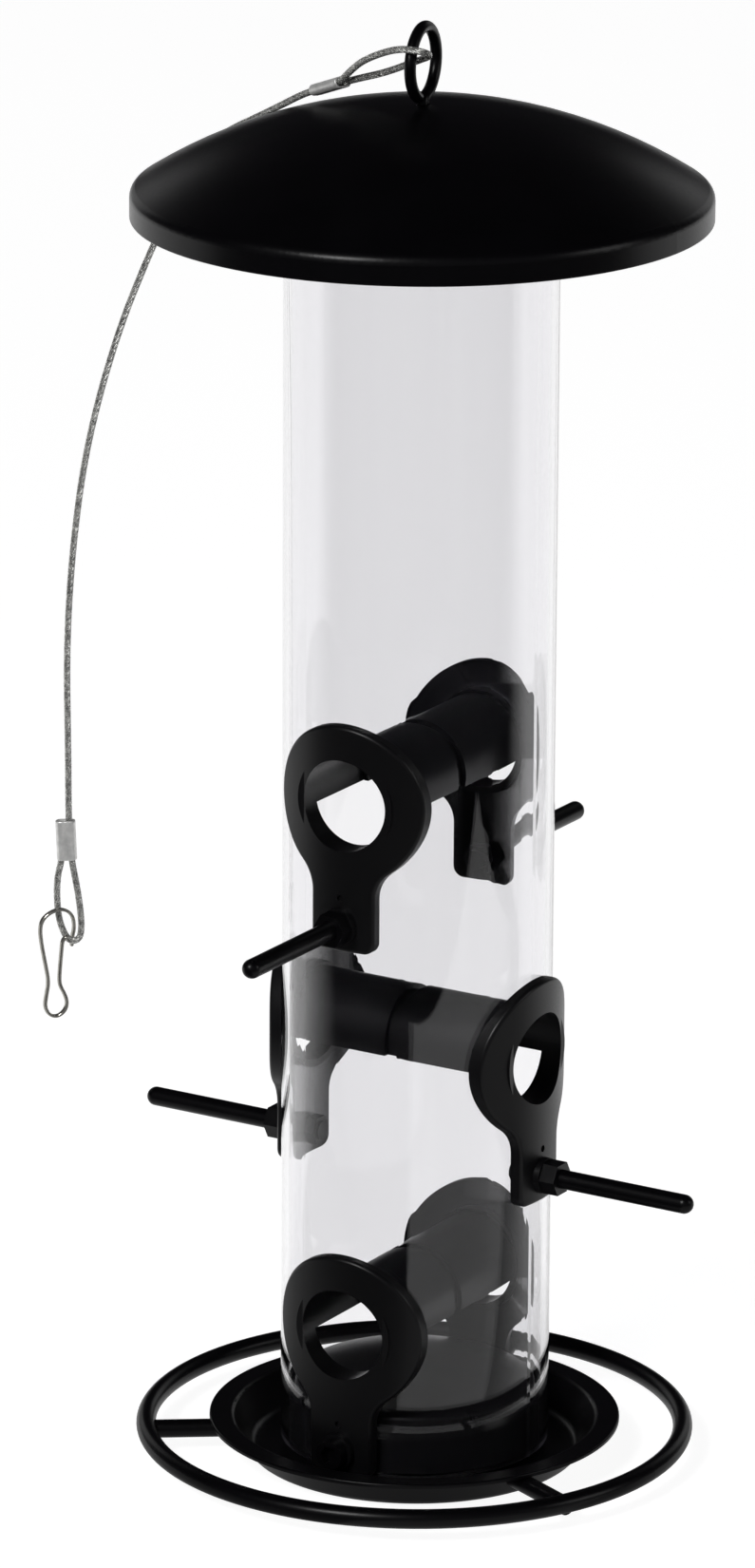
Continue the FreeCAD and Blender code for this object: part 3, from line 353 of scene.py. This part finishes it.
class Nodes:
    """A material's node tree, with short ways to add to it."""

    def __init__(self, name):
        self.material = bpy.data.materials.new(name)
        self.material.use_nodes = True
        self.tree = self.material.node_tree
        self.shader = self.tree.nodes["Principled BSDF"]
        self.output = self.tree.nodes["Material Output"]
        self.place = self.add("ShaderNodeTexCoord").outputs["Object"]

    def add(self, kind, **settings):
        node = self.tree.nodes.new(kind)
        for key, setting in settings.items():
            setattr(node, key, setting)
        return node

    def link(self, out, into):
        self.tree.links.new(out, into)

    def set(self, **inputs):
        """Constants on the shader's own sockets."""
        for key, number in inputs.items():
            self.shader.inputs[key.replace("_", " ")].default_value = number

    def drive(self, socket, out):
        """A pattern on one of the shader's sockets."""
        self.link(out, self.shader.inputs[socket])

    def stretched(self, x, y, z):
        mapping = self.add("ShaderNodeMapping")
        mapping.inputs["Scale"].default_value = (x, y, z)
        self.link(self.place, mapping.inputs["Vector"])
        return mapping.outputs["Vector"]

    def noise(self, scale, detail=2.0, rough=0.5, vector=None):
        node = self.add("ShaderNodeTexNoise")
        node.inputs["Scale"].default_value = scale
        node.inputs["Detail"].default_value = detail
        node.inputs["Roughness"].default_value = rough
        self.link(vector or self.place, node.inputs["Vector"])
        return node.outputs["Fac"]

    def spread(self, source, low, high, from_low=0.3, from_high=0.7):
        node = self.add("ShaderNodeMapRange")
        node.inputs["From Min"].default_value = from_low
        node.inputs["From Max"].default_value = from_high
        node.inputs["To Min"].default_value = low
        node.inputs["To Max"].default_value = high
        self.link(source, node.inputs["Value"])
        return node.outputs["Result"]

    def colours(self, source, dark, light, from_low=0.3, from_high=0.7):
        node = self.add("ShaderNodeValToRGB")
        node.color_ramp.elements[0].position = from_low
        node.color_ramp.elements[0].color = (*dark, 1)
        node.color_ramp.elements[1].position = from_high
        node.color_ramp.elements[1].color = (*light, 1)
        self.link(source, node.inputs["Fac"])
        return node.outputs["Color"]

    def bump(self, source, strength, distance, under=None):
        node = self.add("ShaderNodeBump")
        node.inputs["Strength"].default_value = strength
        node.inputs["Distance"].default_value = distance
        self.link(source, node.inputs["Height"])
        if under is not None:
            self.link(under, node.inputs["Normal"])
        return node.outputs["Normal"]

    def mix_in(self, share, other):
        """The material's own shader, giving way to another one by a share."""
        mixed = self.add("ShaderNodeMixShader")
        self.link(share, mixed.inputs["Fac"])
        self.link(self.shader.outputs[0], mixed.inputs[1])
        self.link(other.outputs[0], mixed.inputs[2])
        self.link(mixed.outputs[0], self.output.inputs["Surface"])

    def let_light_through(self, tint):
        """Shadow rays pass straight on, so that what is inside is lit."""
        straight = self.add("ShaderNodeBsdfTransparent")
        straight.inputs["Color"].default_value = (*tint, 1)
        self.mix_in(self.add("ShaderNodeLightPath").outputs["Is Shadow Ray"], straight)


def powder_coat():
    """Satin black powder coat: fine orange peel under an even, low sheen."""
    n = Nodes("powder_coat")
    n.set(Specular_IOR_Level=0.16)
    cloud = n.noise(scale=60, detail=4)
    n.drive("Base Color", n.colours(cloud, dark=(0.0012, 0.0011, 0.0015), light=(0.0019, 0.0017, 0.0023)))
    n.drive("Roughness", n.spread(n.noise(scale=1400, detail=3, rough=0.6), low=0.28, high=0.33))
    peel = n.bump(n.noise(scale=900, detail=3, rough=0.55), strength=0.06, distance=0.00004)
    n.drive("Normal", n.bump(n.noise(scale=3800), strength=0.08, distance=0.00002, under=peel))
    return n.material


def moulded_plastic():
    """Black moulded plastic, a little duller than the coat, with a fine grain."""
    n = Nodes("moulded_plastic")
    n.set(Specular_IOR_Level=0.22)
    cloud = n.noise(scale=45, detail=3)
    n.drive("Base Color", n.colours(cloud, dark=(0.0026, 0.0025, 0.0030), light=(0.0038, 0.0037, 0.0042)))
    n.drive("Roughness", n.spread(n.noise(scale=1600, detail=3, rough=0.6), low=0.3, high=0.38))
    n.drive("Normal", n.bump(n.noise(scale=2600), strength=0.03, distance=0.00001))
    return n.material


def clear_plastic():
    """Clear extruded tube: very faint upright streaks, a trace of tint and a few dull specks."""
    n = Nodes("clear_plastic")
    n.set(IOR=1.5, Transmission_Weight=1.0)
    streaks = n.noise(scale=420, detail=3, rough=0.6, vector=n.stretched(1, 1, 0.02))
    specks = n.noise(scale=700, vector=n.stretched(1, 1, 0.35))
    n.drive("Base Color", n.colours(streaks, dark=(0.904, 0.900, 0.914), light=(0.915, 0.912, 0.924)))
    n.drive("Roughness", n.spread(specks, low=0.0, high=0.03, from_low=0.72, from_high=0.84))
    n.drive("Normal", n.bump(streaks, strength=0.012, distance=0.00001))
    n.let_light_through(tint=(0.93, 0.93, 0.95))
    return n.material


def bare_metal(name, dark, light, roughness, scale, streak=(1, 1, 1), metallic=1.0):
    """Bare metal: a grain that may be drawn out along z, uneven gloss, slightly uneven colour."""
    n = Nodes(name)
    n.set(Metallic=metallic)
    grain = n.noise(scale, detail=3, rough=0.55, vector=n.stretched(*streak))
    n.drive("Base Color", n.colours(n.noise(scale * 0.5, detail=3), dark, light))
    n.drive("Roughness", n.spread(grain, *roughness))
    n.drive("Normal", n.bump(grain, strength=0.15, distance=0.00004))
    return n.material


def clear_jacket():
    """The cable's thin clear coat, with a slight unevenness."""
    n = Nodes("cable_jacket")
    n.set(Base_Color=(0.97, 0.97, 0.95, 1), IOR=1.3, Transmission_Weight=1.0)
    n.drive("Roughness", n.spread(n.noise(scale=900), low=0.02, high=0.07))
    n.let_light_through(tint=(1, 1, 1))
    return n.material


COAT = powder_coat()
PLASTIC = moulded_plastic()
CLEAR = clear_plastic()
WIRE = bare_metal("cable_wire", dark=(0.3, 0.3, 0.295), light=(0.82, 0.82, 0.8),
                  roughness=(0.16, 0.34), scale=1500, metallic=0.8)
SLEEVE = bare_metal("sleeve_aluminium", dark=(0.62, 0.62, 0.61), light=(0.8, 0.8, 0.78),
                    roughness=(0.34, 0.5), scale=1100, streak=(1, 1, 0.12), metallic=0.6)
NICKEL = bare_metal("hook_nickel", dark=(0.34, 0.33, 0.3), light=(0.5, 0.49, 0.45),
                    roughness=(0.12, 0.26), scale=900, streak=(1, 1, 0.3), metallic=0.85)
ZINC = bare_metal("zinc_plate", dark=(0.5, 0.5, 0.48), light=(0.66, 0.66, 0.62),
                  roughness=(0.25, 0.42), scale=800)
JACKET = clear_jacket()

SLOT_MATERIAL = {
    "black_coat": COAT, "black_plastic": PLASTIC, "clear_tube": CLEAR, "plated_steel": ZINC,
    "cable_steel": WIRE, "ferrule_metal": SLEEVE, "hook_wire": NICKEL,
}


def paint(piece, material):
    piece.data.materials.clear()
    piece.data.materials.append(material)


for part in frame["record"]["subparts"]:
    for slot in NODES[part["node"]].material_slots:
        slot.material = SLOT_MATERIAL[part["material_slot"]]

for piece, material in ((strands, WIRE), (coat, JACKET), (top_sleeve, SLEEVE), (bottom_sleeve, SLEEVE),
                        (hook, NICKEL)):
    paint(piece, material)

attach(strands, "cable")
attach(coat, "cable")
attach(top_sleeve, "cable")
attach(bottom_sleeve, "cable")
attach(hook, "hook")
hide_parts("cable")
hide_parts("top_ferrule")
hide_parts("bottom_ferrule")
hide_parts("snap_hook")


# ---------------------------------------------------------------- studio

FLOOR_HALF_SIZE = 6
FLOOR_DROP, TABLE_DROP = 0.0002, 0.0001
FLOOR_GLOW, TABLE_GLOW = 0.93, 0.55
# How far behind and in front of the feeder the floor's reflection fades from light to dark.
FLOOR_FADE = 0.12
TABLE_NEAR, TABLE_FAR, TABLE_LEFT, TABLE_RIGHT = 0.06, 0.42, -0.02, 0.5


def make_floor():
    """A pale floor. In reflections only the part behind the feeder stays light."""
    size = FLOOR_HALF_SIZE
    corners = [(-size, -size), (size, -size), (size, size), (-size, size)]
    height = CAD_BOX[0][2] - FLOOR_DROP
    floor = new_mesh_object("floor", [(x, y, height) for x, y in corners], [(0, 1, 2, 3)], smooth=False)
    n = Nodes("pale_floor")
    n.set(Base_Color=(0.3, 0.3, 0.3, 1), Roughness=0.9, Specular_IOR_Level=0.0,
          Emission_Color=(1, 1, 1, 1), Emission_Strength=FLOOR_GLOW)
    dark = n.add("ShaderNodeBsdfDiffuse")
    dark.inputs["Color"].default_value = (0, 0, 0, 1)
    reflected = n.add("ShaderNodeMath", operation="GREATER_THAN")
    reflected.inputs[1].default_value = 0.5
    n.link(n.add("ShaderNodeLightPath").outputs["Glossy Depth"], reflected.inputs[0])
    toward_back = n.add("ShaderNodeVectorMath", operation="DOT_PRODUCT")
    toward_back.inputs[1].default_value = AWAY
    n.link(n.place, toward_back.inputs[0])
    in_front = n.spread(toward_back.outputs["Value"], low=1, high=0,
                        from_low=-FLOOR_FADE, from_high=FLOOR_FADE)
    darkened = n.add("ShaderNodeMath", operation="MULTIPLY")
    n.link(reflected.outputs[0], darkened.inputs[0])
    n.link(in_front, darkened.inputs[1])
    n.mix_in(darkened.outputs[0], dark)
    paint(floor, n.material)


def make_bright_table():
    """A light patch of table in front on the right, seen only as a reflection low on the tube."""
    outline = ((TABLE_LEFT, TABLE_NEAR), (TABLE_RIGHT, TABLE_NEAR),
               (TABLE_RIGHT, TABLE_FAR), (TABLE_LEFT, TABLE_FAR))
    corners = [RIGHT * across - AWAY * toward for across, toward in outline]
    patch = new_mesh_object("bright_table", corners, [(0, 1, 2, 3)], smooth=False)
    patch.location.z = CAD_BOX[0][2] - TABLE_DROP
    n = Nodes("bright_table")
    n.set(Base_Color=(0, 0, 0, 1), Emission_Color=(1, 1, 1, 1), Emission_Strength=TABLE_GLOW)
    paint(patch, n.material)
    patch.visible_camera = False
    patch.visible_diffuse = False
    patch.visible_shadow = False


BACKDROP = (1.05, 1.05, 1.05, 1)
DARK_SKY, LIT_FRONT = (0.018, 0.017, 0.02, 1), (0.24, 0.24, 0.25, 1)
FRONT_TILT = 0.6


def make_world():
    """White to the eye and through the tube; for reflections, a lit front and a dark sky and back."""
    world = bpy.data.worlds.new("studio")
    SCENE.world = world
    world.use_nodes = True
    tree = world.node_tree
    rays = tree.nodes.new("ShaderNodeLightPath").outputs

    def combine(operation, first, second):
        node = tree.nodes.new("ShaderNodeMath")
        node.operation = operation
        for socket, source in zip(node.inputs, (first, second)):
            if isinstance(source, float):
                socket.default_value = source
            else:
                tree.links.new(source, socket)
        return node.outputs[0]

    turned_away = combine("ADD", rays["Diffuse Depth"], rays["Glossy Depth"])
    straight_on = combine("LESS_THAN", turned_away, 0.5)
    through_tube = combine("MULTIPLY", rays["Is Transmission Ray"], straight_on)
    seen = combine("MAXIMUM", rays["Is Camera Ray"], through_tube)
    place = tree.nodes.new("ShaderNodeTexCoord")
    toward_front = tree.nodes.new("ShaderNodeVectorMath")
    toward_front.operation = "DOT_PRODUCT"
    toward_front.inputs[1].default_value = (-AWAY - Vector((0, 0, FRONT_TILT))).normalized()
    tree.links.new(place.outputs["Generated"], toward_front.inputs[0])
    ramp = tree.nodes.new("ShaderNodeValToRGB")
    ramp.color_ramp.elements[0].color = DARK_SKY
    ramp.color_ramp.elements[1].color = LIT_FRONT
    tree.links.new(toward_front.outputs["Value"], ramp.inputs["Fac"])
    mix = tree.nodes.new("ShaderNodeMix")
    mix.data_type = "RGBA"
    tree.links.new(seen, mix.inputs["Factor"])
    tree.links.new(ramp.outputs["Color"], mix.inputs["A"])
    mix.inputs["B"].default_value = BACKDROP
    tree.links.new(mix.outputs["Result"], tree.nodes["Background"].inputs["Color"])


LIGHT_AIM = Vector((0, 0, 0.19))


def add_light(name, size, watts, offset):
    """A square soft box at an offset given as (right, towards the camera, up)."""
    data = bpy.data.lights.new(name, "AREA")
    data.shape = "RECTANGLE"
    data.size = size
    data.size_y = size
    data.energy = watts
    lamp = bpy.data.objects.new(name, data)
    place = RIGHT * offset[0] - AWAY * offset[1] + Vector((0, 0, offset[2]))
    turn = (LIGHT_AIM - place).to_track_quat("-Z", "Y")
    lamp.matrix_world = Matrix.Translation(place) @ turn.to_matrix().to_4x4()
    lamp.visible_camera = False
    lamp.visible_transmission = False
    SCENE.collection.objects.link(lamp)


make_floor()
make_bright_table()
make_world()
add_light("key_left", size=0.5, watts=22, offset=(-0.9, 1.3, 1.35))
add_light("fill_right", size=0.6, watts=3, offset=(1.5, 0.4, 0.7))
add_light("back_left", size=0.9, watts=1.5, offset=(-1.1, -2.0, 0.75))
add_light("back_right", size=0.9, watts=1.5, offset=(1.1, -2.0, 0.75))
SCENE.view_settings.view_transform = "Standard"

bpy.context.view_layer.update()
